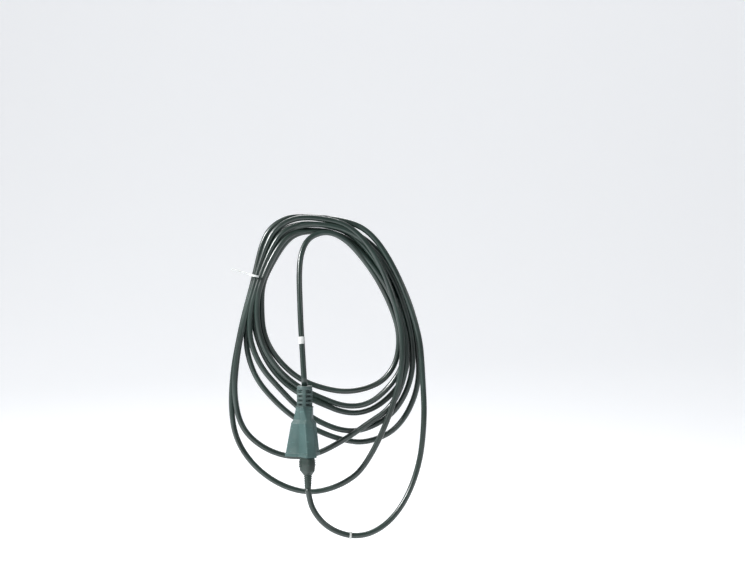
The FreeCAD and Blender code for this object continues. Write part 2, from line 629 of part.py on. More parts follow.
save("block_housing", hang(block_housing()))
save("outlet_face", hang(outlet_face()))
save("contact_carrier", hang(contact_carrier()))
contacts()
bus_bars()
block_wires()
save("block_strain_relief", hang(block_relief()))
save("block_cord_end", hang(rod(0, 0, CAVITY_TOP, CORD_D / 2, NECK_TOP + RELIEF_HEIGHT - CAVITY_TOP)))
loop_start = plug_parts()
save("block_lead", tube("block_lead", LEAD_POINTS, CORD_D))
save("coil", coil())
straight_down = loop_start - Vector(0, 0, LOOP_FIRST_RUN)
loop_route = [tuple(loop_start), tuple(straight_down)] + LOOP_POINTS
save("plug_loop", tube("plug_loop", loop_route, CORD_D))
ties(LEAD_POINTS, loop_route)
print("block hangs at", BLOCK_X, BLOCK_Y, BLOCK_BASE_Z)
print("plug loop starts at", loop_start)
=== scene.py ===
"""Looks of an outdoor extension cord: a loose hanging coil, a three-outlet block and the plug in it.

Metres. +Z is up and the viewer looks along +Y. The origin is the hang point under the coil's top.
"""
import math

import bmesh
import bpy
from mathutils import Matrix, Vector


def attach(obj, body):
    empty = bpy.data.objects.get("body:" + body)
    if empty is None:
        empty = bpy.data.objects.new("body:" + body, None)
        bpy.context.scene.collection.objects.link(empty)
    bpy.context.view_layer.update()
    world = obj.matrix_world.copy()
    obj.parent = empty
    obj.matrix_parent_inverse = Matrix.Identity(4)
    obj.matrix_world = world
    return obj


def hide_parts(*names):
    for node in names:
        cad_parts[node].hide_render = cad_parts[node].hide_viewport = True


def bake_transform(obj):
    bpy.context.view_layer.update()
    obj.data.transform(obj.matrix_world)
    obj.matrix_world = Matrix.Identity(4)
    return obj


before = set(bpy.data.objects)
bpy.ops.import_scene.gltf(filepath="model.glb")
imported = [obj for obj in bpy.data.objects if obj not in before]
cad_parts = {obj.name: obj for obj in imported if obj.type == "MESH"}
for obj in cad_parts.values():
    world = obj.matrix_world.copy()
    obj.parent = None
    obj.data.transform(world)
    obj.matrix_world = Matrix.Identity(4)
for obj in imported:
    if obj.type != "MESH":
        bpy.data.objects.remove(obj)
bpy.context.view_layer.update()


# ---- Camera, floor and light ---------------------------------------------------------------------
# The coil hangs free in a plain bright studio. A large soft lamp stands high at the front left,
# a weaker one at the right, and the pale floor, well below the lowest loop, curves up at the back.

CAMERA_AT = (0.0699, -2.05, -0.0848)
VIEW_WIDTH = 1.17           # what the camera sees across at the hang point
SENSOR = 0.036
FLOOR_Z = -0.62
STUDIO_REACH = 14           # from the coil to the studio's edges
SWEEP_RADIUS = 4            # of the curve from the floor up into the back wall
SWEEP_STEPS = 24

scene = bpy.context.scene
scene.view_settings.view_transform = "Standard"

camera_data = bpy.data.cameras.new("camera")
camera_data.sensor_width = SENSOR * 1000
camera_data.lens = SENSOR * 1000 * -CAMERA_AT[1] / VIEW_WIDTH
camera = bpy.data.objects.new("camera", camera_data)
camera.location = CAMERA_AT
camera.rotation_euler = (math.radians(90), 0, 0)
scene.collection.objects.link(camera)
scene.camera = camera

world = bpy.data.worlds.new("studio")
world.use_nodes = True
world.node_tree.nodes["Background"].inputs["Color"].default_value = (0.93, 0.95, 1.0, 1)
world.node_tree.nodes["Background"].inputs["Strength"].default_value = 0.27
scene.world = world


def lamp(name, place, aim, size, power):
    """A square soft lamp at a place, turned towards an aim."""
    light = bpy.data.lights.new(name, "AREA")
    light.size = size
    light.energy = power
    holder = bpy.data.objects.new(name, light)
    holder.location = place
    holder.rotation_euler = (Vector(aim) - Vector(place)).to_track_quat("-Z", "Y").to_euler()
    scene.collection.objects.link(holder)


lamp("key_lamp", (-2.1, -1.25, 1.1), (0, 0, -0.2), 0.6, 105)
lamp("side_lamp", (1.7, -1.0, 0.6), (0, 0, -0.2), 0.5, 5)
lamp("back_lamp", (-0.3, 1.7, 1.3), (0, 0, -0.2), 1.2, 22)


def studio_sweep():
    """The floor and back wall as one curved pale sheet with a faint glow of its own."""
    profile = [(-STUDIO_REACH, FLOOR_Z)]
    for step in range(SWEEP_STEPS + 1):
        angle = math.radians(90 * step / SWEEP_STEPS)
        back = SWEEP_RADIUS * (0.5 + math.sin(angle))
        profile.append((back, FLOOR_Z + SWEEP_RADIUS * (1 - math.cos(angle))))
    profile.append((SWEEP_RADIUS * 1.5, STUDIO_REACH))
    corners = [(x, y, z) for y, z in profile for x in (-STUDIO_REACH, STUDIO_REACH)]
    faces = [(i, i + 1, i + 3, i + 2) for i in range(0, len(corners) - 2, 2)]
    mesh = bpy.data.meshes.new("studio_sweep")
    mesh.from_pydata(corners, [], faces)
    mesh.shade_smooth()
    sweep = bpy.data.objects.new("studio_sweep", mesh)
    scene.collection.objects.link(sweep)
    paint = bpy.data.materials.new("studio_paint")
    paint.use_nodes = True
    shader = paint.node_tree.nodes["Principled BSDF"]
    shader.inputs["Base Color"].default_value = (0.86, 0.87, 0.88, 1)
    shader.inputs["Roughness"].default_value = 0.9
    shader.inputs["Emission Color"].default_value = (0.97, 0.98, 1, 1)
    shader.inputs["Emission Strength"].default_value = 0.4
    mesh.materials.append(paint)


studio_sweep()


# ---- Cord: lead and coil -------------------------------------------------------------------------
# One length of three-wire outdoor cord in a dark green vinyl jacket. From the block it rises to the
# hook and goes seven times round, each turn a little different, with the loosest turns in front.
# The three wires twisted inside show as a faint slow spiral in the jacket.

CORD_D = 0.0091
LEAD = [(-0.034, -0.0522, -0.2345), (-0.0385, -0.043, -0.175), (-0.042, -0.035, -0.115),
        (-0.044, -0.027, -0.062), (-0.041, -0.021, -0.028), (-0.029, -0.015, -0.005)]

# Lines across the bundle, clockwise from the hook: where the innermost turn crosses one (x, z),
# and where the outermost does.
CROSSINGS = [((0.000, 0.005), (0.000, 0.027)), ((0.030, -0.009), (0.035, 0.024)),
             ((0.058, -0.041), (0.072, 0.006)), ((0.082, -0.077), (0.105, -0.037)),
             ((0.100, -0.115), (0.131, -0.100)), ((0.113, -0.157), (0.146, -0.174)),
             ((0.109, -0.199), (0.152, -0.249)), ((0.090, -0.229), (0.121, -0.333)),
             ((0.063, -0.243), (0.060, -0.364)), ((0.027, -0.249), (0.020, -0.394)),
             ((-0.009, -0.243), (-0.027, -0.406)), ((-0.042, -0.230), (-0.075, -0.394)),
             ((-0.068, -0.210), (-0.116, -0.364)), ((-0.090, -0.183), (-0.145, -0.323)),
             ((-0.103, -0.151), (-0.153, -0.269)), ((-0.105, -0.111), (-0.149, -0.210)),
             ((-0.103, -0.078), (-0.135, -0.138)), ((-0.089, -0.047), (-0.115, -0.065)),
             ((-0.066, -0.011), (-0.103, -0.009)), ((-0.047, 0.002), (-0.086, 0.017)),
             ((-0.024, 0.005), (-0.051, 0.033))]

# Each turn, in order along the cord: its share of the way from the innermost to the outermost
# at some of those lines, and its depth there, y.
TURN_LINES = (5, 7, 8, 9, 10, 12, 14, 16, 18)
TURNS = [((0, 0, 0, 0, 0, 0, 0, 0, 0),
          (0.008, 0.008, 0.008, 0.008, 0.008, 0.006, 0.004, 0.003, 0.002)),
         ((0.25, 0.14, 0.21, 0.155, 0.09, 0.07, 0.08, 0.22, 0.16),
          (-0.003, 0, 0.001, 0.002, 0.003, 0, -0.004, -0.005, -0.005)),
         ((0.42, 0.27, 0.31, 0.23, 0.14, 0.13, 0.15, 0.40, 0.32),
          (0.007, 0.008, 0.008, 0.008, 0, 0.006, 0.005, 0.005, 0.004)),
         ((0.60, 0.50, 0.53, 0.42, 0.32, 0.20, 0.28, 0.55, 0.46),
          (-0.002, -0.002, -0.001, -0.001, 0, -0.002, -0.004, -0.004, -0.005)),
         ((0.85, 0.74, 0.71, 0.52, 0.41, 0.34, 0.42, 0.70, 0.60),
          (0.005, 0.004, 0.004, 0.004, 0.004, 0.004, 0.005, 0.005, 0.005)),
         ((0.30, 0.39, 0.45, 0.515, 0.64, 0.80, 0.88, 0.86, 0.76),
          (-0.010, -0.011, -0.011, -0.009, -0.007, -0.004, -0.004, -0.004, -0.004)),
         ((0.12, 0.40, 1, 1, 1, 1, 1, 1, 1),
          (-0.016, -0.019, -0.015, -0.012, -0.010, -0.005, 0.002, 0.003, 0.004))]
# Where the cord lies on the hook before each turn and after the last: height and depth.
HOOK_SEATS = [(0.0046, -0.0093), (0.0046, 0), (0.0046, 0.0093), (0.0137, -0.0093), (0.0137, 0),
              (0.0137, 0.0093), (0.0228, -0.005), (0.0245, 0.0045)]


def eased(keys, values, place):
    """A smooth value between keyed ones."""
    left = max(i for i in range(len(keys) - 1) if keys[i] <= place)
    right = left + 1
    before = max(left - 1, 0)
    after = min(right + 1, len(keys) - 1)
    width = keys[right] - keys[left]
    slope_in = (values[right] - values[before]) / (keys[right] - keys[before]) * width
    slope_out = (values[after] - values[left]) / (keys[after] - keys[left]) * width
    t = (place - keys[left]) / width
    return ((2 * t ** 3 - 3 * t ** 2 + 1) * values[left] + (t ** 3 - 2 * t ** 2 + t) * slope_in
            + (3 * t ** 2 - 2 * t ** 3) * values[right] + (t ** 3 - t ** 2) * slope_out)


def turn_points(shares, depths, seat, next_seat):
    """One turn's points, one on each crossing line, starting on the hook."""
    hook_inner, hook_outer = CROSSINGS[0][0][1], CROSSINGS[0][1][1]
    lines = (0,) + TURN_LINES + (len(CROSSINGS),)
    all_shares = [(seat[0] - hook_inner) / (hook_outer - hook_inner), *shares,
                  (next_seat[0] - hook_inner) / (hook_outer - hook_inner)]
    all_depths = [seat[1], *depths, next_seat[1]]
    points = []
    for number, (inner, outer) in enumerate(CROSSINGS):
        share = eased(lines, all_shares, number)
        depth = eased(lines, all_depths, number)
        points.append((inner[0] + share * (outer[0] - inner[0]), depth,
                       inner[1] + share * (outer[1] - inner[1])))
    return points


def smooth_path(name, points, steps):
    """The line of a NURBS cord through its route's points, as a list of points."""
    curve = bpy.data.curves.new(name, "CURVE")
    curve.dimensions = "3D"
    curve.resolution_u = steps
    spline = curve.splines.new("NURBS")
    spline.points.add(len(points) - 1)
    for spot, point in zip(spline.points, points):
        spot.co = (*point, 1)
    spline.order_u = 3
    spline.use_endpoint_u = True
    holder = bpy.data.objects.new(name, curve)
    line = bpy.data.meshes.new_from_object(holder)
    path = [vertex.co.copy() for vertex in line.vertices]
    bpy.data.objects.remove(holder)
    bpy.data.meshes.remove(line)
    return path


JACKET_SIDES = 18
TWIST_HEIGHT = 0.00011      # how far the wires inside push the jacket out
TWIST_LAY = 0.082           # length of cord for one twist of the three wires
TWIST_FADE = 0.02           # the jacket is truly round at its ends, where the next piece meets it


def jacket(name, path, diameter):
    """The cord's jacket as a tube along a path, with a UV map: once round, and length in metres."""
    mesh = bmesh.new()
    uv = mesh.loops.layers.uv.new("jacket")
    along = (path[1] - path[0]).normalized()
    side = along.orthogonal().normalized()
    travelled = [0.0]
    for before, after in zip(path, path[1:]):
        travelled.append(travelled[-1] + (after - before).length)
    rings = []
    for number, place in enumerate(path):
        ahead = path[min(number + 1, len(path) - 1)] - path[max(number - 1, 0)]
        ahead.normalize()
        side = (side - ahead * side.dot(ahead)).normalized()
        across = ahead.cross(side)
        from_end = min(travelled[number], travelled[-1] - travelled[number])
        bulge = TWIST_HEIGHT * min(1, from_end / TWIST_FADE)
        twist = 2 * math.pi * travelled[number] / TWIST_LAY
        ring = []
        for step in range(JACKET_SIDES):
            angle = 2 * math.pi * step / JACKET_SIDES
            radius = diameter / 2 + bulge * (math.cos(3 * angle - twist) - 1)
            outward = math.cos(angle) * side + math.sin(angle) * across
            ring.append(mesh.verts.new(place + radius * outward))
        rings.append(ring)
    for number in range(len(rings) - 1):
        for step in range(JACKET_SIDES):
            following = (step + 1) % JACKET_SIDES
            face = mesh.faces.new((rings[number][step], rings[number][following],
                                   rings[number + 1][following], rings[number + 1][step]))
            face.smooth = True
            corners = ((step, number), (step + 1, number), (step + 1, number + 1), (step, number + 1))
            for loop, (turn, ring_number) in zip(face.loops, corners):
                loop[uv].uv = (turn / JACKET_SIDES, travelled[ring_number])
    mesh.faces.new(reversed(rings[0]))
    mesh.faces.new(rings[-1])
    return made(name, mesh)


def made(name, mesh, smooth_angle=None):
    """An object from a finished bmesh, smooth up to an angle in degrees if one is given."""
    data = bpy.data.meshes.new(name)
    mesh.to_mesh(data)
    mesh.free()
    piece = bpy.data.objects.new(name, data)
    scene.collection.objects.link(piece)
    if smooth_angle is not None:
        data.shade_smooth()
        data.set_sharp_from_angle(angle=math.radians(smooth_angle))
    return piece


class Value:
    """A number, colour or vector inside a finish. Sums and products add their Math nodes."""

    def __init__(self, finish, socket):
        self.finish = finish
        self.socket = socket

    def maths(self, operation, first, second):
        return self.finish.add("ShaderNodeMath", {"operation": operation}, {0: first, 1: second})

    def __add__(self, other):
        return self.maths("ADD", self, other)

    def __radd__(self, other):
        return self.maths("ADD", other, self)

    def __mul__(self, other):
        return self.maths("MULTIPLY", self, other)

    def __rmul__(self, other):
        return self.maths("MULTIPLY", other, self)


class Finish:
    """One procedural material. Constants go straight on its shader, the rest through nodes."""

    def __init__(self, name, **constants):
        self.material = bpy.data.materials.new(name)
        self.material.use_nodes = True
        self.tree = self.material.node_tree
        self.shader = self.tree.nodes["Principled BSDF"]
        for socket, value in constants.items():
            self.shader.inputs[socket.replace("_", " ")].default_value = value

    def add(self, kind, settings, sockets, output=0):
        """Add one node: its settings first, then its sockets' values or links."""
        node = self.tree.nodes.new(kind)
        for setting, value in settings.items():
            setattr(node, setting, value)
        for socket, value in sockets.items():
            self.give(node.inputs[socket], value)
        return Value(self, node.outputs[output])

    def give(self, socket, value):
        """Link a value to a socket, or set the socket to a number or colour."""
        if isinstance(value, Value):
            self.tree.links.new(value.socket, socket)
        else:
            socket.default_value = value

    def drives(self, socket, value):
        """Let a value drive one of the shader's own sockets."""
        self.give(self.shader.inputs[socket], value)

    def place(self):
        """Where a point is on the object, in metres."""
        return self.add("ShaderNodeTexCoord", {}, {}, "Object")

    def noise(self, place, scale, detail=3.0, stretch=(1, 1, 1)):
        """A cloudy pattern from 0 to 1."""
        moved = self.add("ShaderNodeMapping", {}, {"Vector": place, "Scale": stretch})
        return self.add("ShaderNodeTexNoise", {}, {"Vector": moved, "Scale": scale, "Detail": detail})

    def rise(self, value, low, high):
        """0 below low, 1 above high and straight between."""
        return self.add("ShaderNodeMapRange", {}, {"Value": value, "From Min": low, "From Max": high})

    def mixed(self, share, first, second):
        """A colour part way from the first to the second."""
        colours = {0: share, 6: first, 7: second}
        return self.add("ShaderNodeMix", {"data_type": "RGBA"}, colours, 2)

    def facing_up(self):
        """1 where a surface looks up, 0 where it is upright or looks down."""
        normal = self.add("ShaderNodeNewGeometry", {}, {}, "Normal")
        return self.rise(self.add("ShaderNodeSeparateXYZ", {}, {0: normal}, 2), 0.15, 0.9)

    def relief(self, height, distance, strength=1.0):
        """Raise the surface by a height pattern."""
        bump = {"Height": height, "Distance": distance, "Strength": strength}
        self.drives("Normal", self.add("ShaderNodeBump", {}, bump))


def jacket_finish():
    """Dark green vinyl, a little cloudy, scuffed along its length and dusty on top."""
    finish = Finish("green_cord_jacket", Specular_IOR_Level=0.5, Coat_Weight=0.4, Coat_Roughness=0.16)
    place = finish.place()
    length_map = finish.add("ShaderNodeUVMap", {"uv_map": "jacket"}, {})
    clouds = finish.noise(place, 14, 4)
    streaks = finish.noise(length_map, 1, 5, (26, 60, 1))
    scuffs = finish.rise(streaks, 0.60, 0.74)
    specks = finish.rise(finish.noise(place, 900, 2), 0.60, 0.72)
    cloudy = finish.rise(clouds, 0.35, 0.65)
    green = finish.mixed(cloudy, (0.006, 0.0145, 0.011, 1), (0.014, 0.031, 0.025, 1))
    worn = finish.mixed(scuffs * 0.5, green, (0.055, 0.085, 0.075, 1))
    dust = finish.facing_up() * (0.04 + 0.18 * clouds) + specks * 0.08
    finish.drives("Base Color", finish.mixed(dust, worn, (0.085, 0.105, 0.088, 1)))
    finish.drives("Roughness", 0.24 + 0.14 * clouds + 0.20 * scuffs + 0.25 * dust)
    finish.relief(streaks * 0.6 + finish.noise(place, 1400, 2) * 0.3, 0.00012, 0.5)
    return finish.material


JACKET_FINISH = jacket_finish()

coil_points = list(LEAD)
for (shares, depths), seat, next_seat in zip(TURNS, HOOK_SEATS, HOOK_SEATS[1:]):
    coil_points += turn_points(shares, depths, seat, next_seat)
coil_points.append((0, HOOK_SEATS[-1][1], HOOK_SEATS[-1][0]))
coil_path = smooth_path("coil_line", coil_points, 8)
coil_cord = jacket("coil_cord", coil_path, CORD_D)
coil_cord.data.materials.append(JACKET_FINISH)
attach(coil_cord, "cord_and_block")
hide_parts("block_lead", "coil")


# ---- Cord: the loop to the plug ------------------------------------------------------------------
# The same cord goes on from its last seat on the hook, down the right side behind the other turns,
# round one long low loop in front of the coil and up into the plug's strain relief.

LOOP = [(0, 0.0045, 0.0245), (0.033, 0.0046, 0.0201), (0.068, -0.003, 0.002), (0.100, -0.012, -0.045),
        (0.126, -0.016, -0.103), (0.143, -0.018, -0.160), (0.147, -0.020, -0.205),
        (0.149, -0.024, -0.245), (0.150, -0.0285, -0.280), (0.148, -0.029, -0.318),
        (0.142, -0.030, -0.356), (0.131, -0.0332, -0.391), (0.114, -0.0373, -0.423),
        (0.092, -0.0425, -0.448), (0.066, -0.0482, -0.462), (0.040, -0.0532, -0.4645),
        (0.018, -0.0576, -0.4585), (-0.001, -0.061, -0.447), (-0.0165, -0.0635, -0.4295),
        (-0.0262, -0.0644, -0.409), (-0.0283, -0.0644, -0.3893)]

loop_path = smooth_path("loop_line", LOOP, 8)
loop_cord = jacket("loop_cord", loop_path, CORD_D)
loop_cord.data.materials.append(JACKET_FINISH)
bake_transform(loop_cord)
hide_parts("plug_loop")


# ---- Block housing -------------------------------------------------------------------------------
# A moulded vinyl shell with three lobes, one for each outlet: a rim at the base, a skirt that narrows
# upward, a sloping shoulder and a round neck. It is moulded over the outlets and the cord.

BLOCK_AT = Vector((-0.034, -0.052215, -0.342))
MM = 0.001
LOBE_ANGLES = (295, 175, 55)        # front (plugged), left, back right
LOBE_HALF_WIDTH = 11.5
NOSE_HALF_WIDTH = 7.5
CORNER_RADIUS = 3.0
GROOVE_RADIUS = 3.0
REACH_BASE = 28.3
REACH_TOP = 20.0
NECK_REACH = 13.5
RIM_OUT = 0.9
RIM_HEIGHT = 5.0
WALL = 1.5
SKIRT_TOP = 51.0
CAVITY_TOP = 46.0
SHOULDER_TOP = 56.0
SHOULDER_STEP = 3.0
NECK_STEP = 1.0
NECK_TOP = 76.0
NECK_LIP = 1.6              # height of a thin lip round the top of the neck
NECK_LIP_OUT = 0.5          # how far the lip stands out
NECK_TOP_INSET = 5.0        # how far the neck's top runs in under the strain relief
RIM_SLOPE = 0.9             # height of the slope from the rim in to the skirt
EDGE_SOFTNESS = 0.5         # rounding of the housing's edges
BEND_STEPS = 6              # points on a rounded corner or groove
FLANK_STEPS = 5
NOSE_STEPS = 4


def polar(radius, angle):
    """A flat point at an angle in degrees."""
    return Vector((radius * math.cos(math.radians(angle)), radius * math.sin(math.radians(angle))))


def arc_points(middle, radius, start, end, steps):
    """Points along an arc, both ends included."""
    return [middle + polar(radius, start + (end - start) * i / steps) for i in range(steps + 1)]


def lobed_ring(reach, grown):
    """The three-lobed outline: flat noses, rounded corners, straight flanks and rounded grooves."""
    half = LOBE_HALF_WIDTH + grown
    root = Vector(((half + GROOVE_RADIUS) / math.tan(math.radians(60)), half))
    corner = Vector((reach + grown, NOSE_HALF_WIDTH + grown))
    flank = (corner - root).normalized()
    lean = math.degrees(math.atan2(-flank.y, flank.x))
    setback = CORNER_RADIUS * math.tan(math.radians(90 - lean) / 2)
    bend_at = corner - Vector((CORNER_RADIUS, setback))
    bend = arc_points(bend_at, CORNER_RADIUS, 90 - lean, 0, BEND_STEPS)
    groove_at = polar((half + GROOVE_RADIUS) / math.sin(math.radians(60)), 60)
    groove = arc_points(groove_at, GROOVE_RADIUS, 270, 210, BEND_STEPS)
    flank_points = [root + (bend[0] - root) * i / FLANK_STEPS for i in range(1, FLANK_STEPS)]
    nose_points = [bend[-1] - Vector((0, 2 * bend[-1].y * i / NOSE_STEPS)) for i in range(1, NOSE_STEPS)]
    left = bend[::-1] + flank_points[::-1] + groove
    right = [Vector((p.x, -p.y)) for p in flank_points + bend]
    ring = []
    for lobe in sorted(LOBE_ANGLES):
        turn = Matrix.Rotation(math.radians(lobe), 2)
        ring += [turn @ p for p in right + nose_points[::-1] + left]
    return ring


def softened(corners, radius, steps=4):
    """A row of corners with each inner corner rounded by about a radius."""
    points = [Vector(corners[0])]
    for before, corner, after in zip(corners, corners[1:], corners[2:]):
        corner, back, ahead = Vector(corner), Vector(before), Vector(after)
        start = corner + (back - corner) * min(0.45, radius / (back - corner).length)
        end = corner + (ahead - corner) * min(0.45, radius / (ahead - corner).length)
        for i in range(steps + 1):
            t = i / steps
            points.append(start * (1 - t) ** 2 + corner * 2 * t * (1 - t) + end * t ** 2)
    points.append(Vector(corners[-1]))
    return points


def lofted(name, rings, at, smooth_angle=40):
    """A shape through rings of (flat points, height) in mm, capped at both ends and put in place."""
    mesh = bmesh.new()
    rows = [[mesh.verts.new(at + Vector((p.x, p.y, z)) * MM) for p in ring] for ring, z in rings]
    count = len(rows[0])
    for low, high in zip(rows, rows[1:]):
        for i in range(count):
            j = (i + 1) % count
            mesh.faces.new((low[i], low[j], high[j], high[i]))
    mesh.faces.new(rows[0][::-1])
    mesh.faces.new(rows[-1])
    bmesh.ops.recalc_face_normals(mesh, faces=mesh.faces)
    return made(name, mesh, smooth_angle)


def housing_rings():
    """The housing's rings: up inside the skirt, round the rim, up the outside and over the neck."""
    share = (CAVITY_TOP - RIM_HEIGHT) / (SKIRT_TOP - RIM_HEIGHT)
    cavity_reach = REACH_BASE + (REACH_TOP - REACH_BASE) * share
    edge = softened([(cavity_reach, -WALL, CAVITY_TOP), (REACH_BASE, -WALL, RIM_HEIGHT),
                     (REACH_BASE, -WALL, 0), (REACH_BASE, RIM_OUT, 0),
                     (REACH_BASE, RIM_OUT, RIM_HEIGHT), (REACH_BASE, 0, RIM_HEIGHT + RIM_SLOPE),
                     (REACH_TOP, 0, SKIRT_TOP), (REACH_TOP, -SHOULDER_STEP, SHOULDER_TOP),
                     (NECK_REACH, -NECK_STEP, NECK_TOP - NECK_LIP),
                     (NECK_REACH, NECK_LIP_OUT - NECK_STEP, NECK_TOP - NECK_LIP),
                     (NECK_REACH, NECK_LIP_OUT - NECK_STEP, NECK_TOP),
                     (NECK_REACH, -NECK_TOP_INSET, NECK_TOP)], EDGE_SOFTNESS)
    return [(lobed_ring(reach, grown), z) for reach, grown, z in edge]


def moulded_finish(name, dark, light, dusty):
    """Vinyl moulded in a fine-textured tool: cloudy, scuffed, duller and greyer where dusty."""
    finish = Finish(name, Specular_IOR_Level=0.5)
    place = finish.place()
    clouds = finish.noise(place, 28, 4)
    scuffs = finish.rise(finish.noise(place, 1, 6, (120, 120, 420)), 0.60, 0.70)
    grain = finish.noise(place, 2600, 2)
    body = finish.mixed(finish.rise(clouds, 0.3, 0.7), dark, light)
    dust = finish.facing_up() * 0.5 + finish.rise(finish.noise(place, 60, 5), 0.52, 0.75) * 0.35
    worn = finish.mixed(scuffs * 0.5, body, tuple(2.2 * c for c in light[:3]) + (1,))
    finish.drives("Base Color", finish.mixed(dust * 0.6, worn, dusty))
    finish.drives("Roughness", 0.36 + 0.12 * clouds + 0.16 * scuffs + 0.22 * dust)
    finish.relief(grain * 0.5 + clouds * 0.5, 0.00016, 0.45)
    return finish.material


block_housing = lofted("housing", housing_rings(), BLOCK_AT)
block_housing.data.materials.append(moulded_finish(
    "block_vinyl", (0.027, 0.064, 0.060, 1), (0.046, 0.096, 0.092, 1), (0.13, 0.17, 0.155, 1)))
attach(block_housing, "cord_and_block")
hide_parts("block_housing")


# ---- Block strain relief -------------------------------------------------------------------------
# A flexible vinyl sleeve moulded round the cord above the neck: a core, rungs between four rows of
# windows, four upright webs that tie the rungs together, and a thicker collar at the top.

RELIEF_HEIGHT = 31.5
RELIEF_BASE_R = 12.0
RELIEF_TOP_R = 11.0
RELIEF_CORE_R = 6.55
RELIEF_COLLAR = 5.5
RELIEF_COLLAR_OUT = 0.7
RELIEF_ROWS = 4
RELIEF_SLOT = 3.4
RELIEF_WEB = 5.0
CORE_INNER = 5.0            # inner radii of the sleeve's parts, round the cord
COLLAR_INNER = 4.6
OVERLAP = 1.0               # how far one part of the sleeve runs into the next
RUNG_ROUNDING = 0.0006      # metres
BAR_ROUNDING = 0.6
BAR_CHAMFER = 0.5


def turned(name, corners, at, softness, sides=48, smooth_angle=40):
    """A round shape turned from corners of (radius, height) in mm."""
    profile = softened(corners, softness, 3)
    rings = [(arc_points(Vector((0, 0)), radius, 0, 360 * (1 - 1 / sides), sides - 1), z)
             for radius, z in profile]
    return lofted(name, rings, at, smooth_angle)


def ring_rows(name, count, first_r, last_r, pitch, thick, inner_r, at, material):
    """Rows of flat rounded rings up a tapering sleeve, made by a node tree with those sizes."""
    tree = bpy.data.node_groups.new(name, "GeometryNodeTree")
    sizes = {"Count": count, "First Radius": first_r, "Last Radius": last_r, "Pitch": pitch,
             "Thickness": thick, "Inner Radius": inner_r}
    for label in sizes:
        kind = "NodeSocketInt" if label == "Count" else "NodeSocketFloat"
        tree.interface.new_socket(label, in_out="INPUT", socket_type=kind)
    tree.interface.new_socket("Geometry", in_out="OUTPUT", socket_type="NodeSocketGeometry")
    given = tree.nodes.new("NodeGroupInput")

    def node(kind, settings, sockets):
        new = tree.nodes.new(kind)
        for setting, value in settings.items():
            setattr(new, setting, value)
        for socket, value in sockets.items():
            if isinstance(value, bpy.types.NodeSocket):
                tree.links.new(value, new.inputs[socket])
            else:
                new.inputs[socket].default_value = value
        return new

    def maths(operation, first, second):
        return node("ShaderNodeMath", {"operation": operation}, {0: first, 1: second}).outputs[0]

    size = given.outputs
    wide = maths("SUBTRACT", size["First Radius"], size["Inner Radius"])
    middle = maths("MULTIPLY", maths("ADD", size["First Radius"], size["Inner Radius"]), 0.5)
    circle = node("GeometryNodeCurvePrimitiveCircle", {}, {"Resolution": 48, "Radius": middle})
    section = node("GeometryNodeCurvePrimitiveQuadrilateral", {},
                   {"Width": wide, "Height": size["Thickness"]})
    rounded = node("GeometryNodeFilletCurve", {"mode": "POLY"},
                   {"Curve": section.outputs[0], "Radius": RUNG_ROUNDING, "Count": 3,
                    "Limit Radius": True})
    rung = node("GeometryNodeCurveToMesh", {},
                {"Curve": circle.outputs[0], "Profile Curve": rounded.outputs[0]})
    step = node("ShaderNodeCombineXYZ", {}, {"Z": size["Pitch"]})
    row = node("GeometryNodeMeshLine", {}, {"Count": size["Count"], "Offset": step.outputs[0]})
    index = node("GeometryNodeInputIndex", {}, {})
    share = maths("DIVIDE", index.outputs[0], maths("SUBTRACT", size["Count"], 1))
    last = maths("DIVIDE", size["Last Radius"], size["First Radius"])
    narrow = maths("SUBTRACT", 1.0, maths("MULTIPLY", share, maths("SUBTRACT", 1.0, last)))
    scale = node("ShaderNodeCombineXYZ", {}, {"X": narrow, "Y": narrow, "Z": 1.0})
    placed = node("GeometryNodeInstanceOnPoints", {},
                  {"Points": row.outputs[0], "Instance": rung.outputs[0], "Scale": scale.outputs[0]})
    real = node("GeometryNodeRealizeInstances", {}, {0: placed.outputs[0]})
    smooth = node("GeometryNodeSetShadeSmooth", {}, {0: real.outputs[0]})
    coated = node("GeometryNodeSetMaterial", {}, {0: smooth.outputs[0], "Material": material})
    result = tree.nodes.new("NodeGroupOutput")
    tree.links.new(coated.outputs[0], result.inputs[0])

    holder = bpy.data.objects.new(name, bpy.data.meshes.new(name))
    scene.collection.objects.link(holder)
    rows = holder.modifiers.new("rows", "NODES")
    rows.node_group = tree
    for item in tree.interface.items_tree:
        if item.in_out == "INPUT":
            rows[item.identifier] = sizes[item.name] if item.name == "Count" else sizes[item.name] * MM
    plain = bpy.data.meshes.new_from_object(holder.evaluated_get(bpy.context.evaluated_depsgraph_get()))
    holder.modifiers.remove(rows)
    holder.data = plain
    plain.transform(Matrix.Translation(at))
    return holder


def upright_bar(name, middle, width, depth, low, high, at):
    """An upright rounded bar, its middle at a flat place in mm."""
    rings = []
    for height, inset in ((low, BAR_CHAMFER), (low + BAR_CHAMFER, 0), (high - BAR_CHAMFER, 0),
                          (high, BAR_CHAMFER)):
        half_w = width / 2 - inset
        half_d = depth / 2 - inset
        ring = []
        for angle, x, y in ((180, -1, -1), (270, 1, -1), (0, 1, 1), (90, -1, 1)):
            inward = Vector((x * (half_w - BAR_ROUNDING), y * (half_d - BAR_ROUNDING)))
            ring += arc_points(Vector(middle) + inward, BAR_ROUNDING, angle, angle + 90, 3)
        rings.append((ring, height))
    return lofted(name, rings, at)


def joined(name, pieces, material):
    """One object out of several, with one material."""
    mesh = bmesh.new()
    for piece in pieces:
        mesh.from_mesh(piece.data)
        bpy.data.objects.remove(piece)
    bmesh.ops.recalc_face_normals(mesh, faces=mesh.faces)
    whole = made(name, mesh)
    whole.data.materials.append(material)
    for face in whole.data.polygons:
        face.material_index = 0
    return whole


